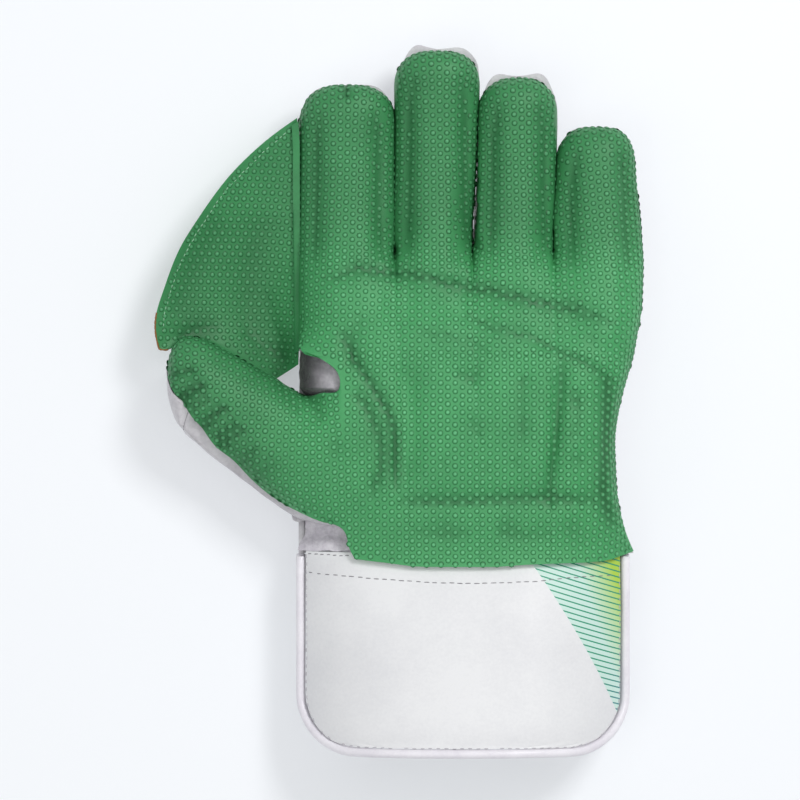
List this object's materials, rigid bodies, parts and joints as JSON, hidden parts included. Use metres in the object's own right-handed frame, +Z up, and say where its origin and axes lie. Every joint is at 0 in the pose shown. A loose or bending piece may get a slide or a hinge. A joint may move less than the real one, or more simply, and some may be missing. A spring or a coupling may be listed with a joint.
{
  "type": "wicketkeeping glove",
  "caption": "Padded wicketkeeping glove for the left hand, with a pimpled green rubber palm and web, a white leather back and a wide open cuff bound with piping",
  "frame": {"origin": "on the flat underside of the cuff's back panel, where the glove rests", "axes": "+Y from the cuff to the fingertips, +X from the thumb to the little finger, +Z up, out of the palm"},
  "size_m": [0.2248, 0.3244, 0.0632],
  "materials": {
    "pimpled_rubber": "pimpled, satin",
    "rubber_lap": "smooth, satin",
    "suede": "napped",
    "white_leather": "smooth, soft",
    "cuff_vinyl": "coated, satin",
    "piping": "coated, glossy"
  },
  "bodies": {
    "root": {"palm_facing": "pimpled_rubber", "web": "pimpled_rubber", "web_seam_strip": "rubber_lap", "crotch_gusset": "suede", "wrist_gusset": "suede", "hand_back": "white_leather", "index_back": "white_leather", "middle_back": "white_leather", "ring_back": "white_leather", "little_back": "white_leather", "thumb_back": "white_leather", "thumb_tip_back": "white_leather", "cuff_front": "cuff_vinyl", "cuff_back": "cuff_vinyl", "cuff_front_piping": "piping", "cuff_back_piping": "piping"}
  },
  "joints": []
}
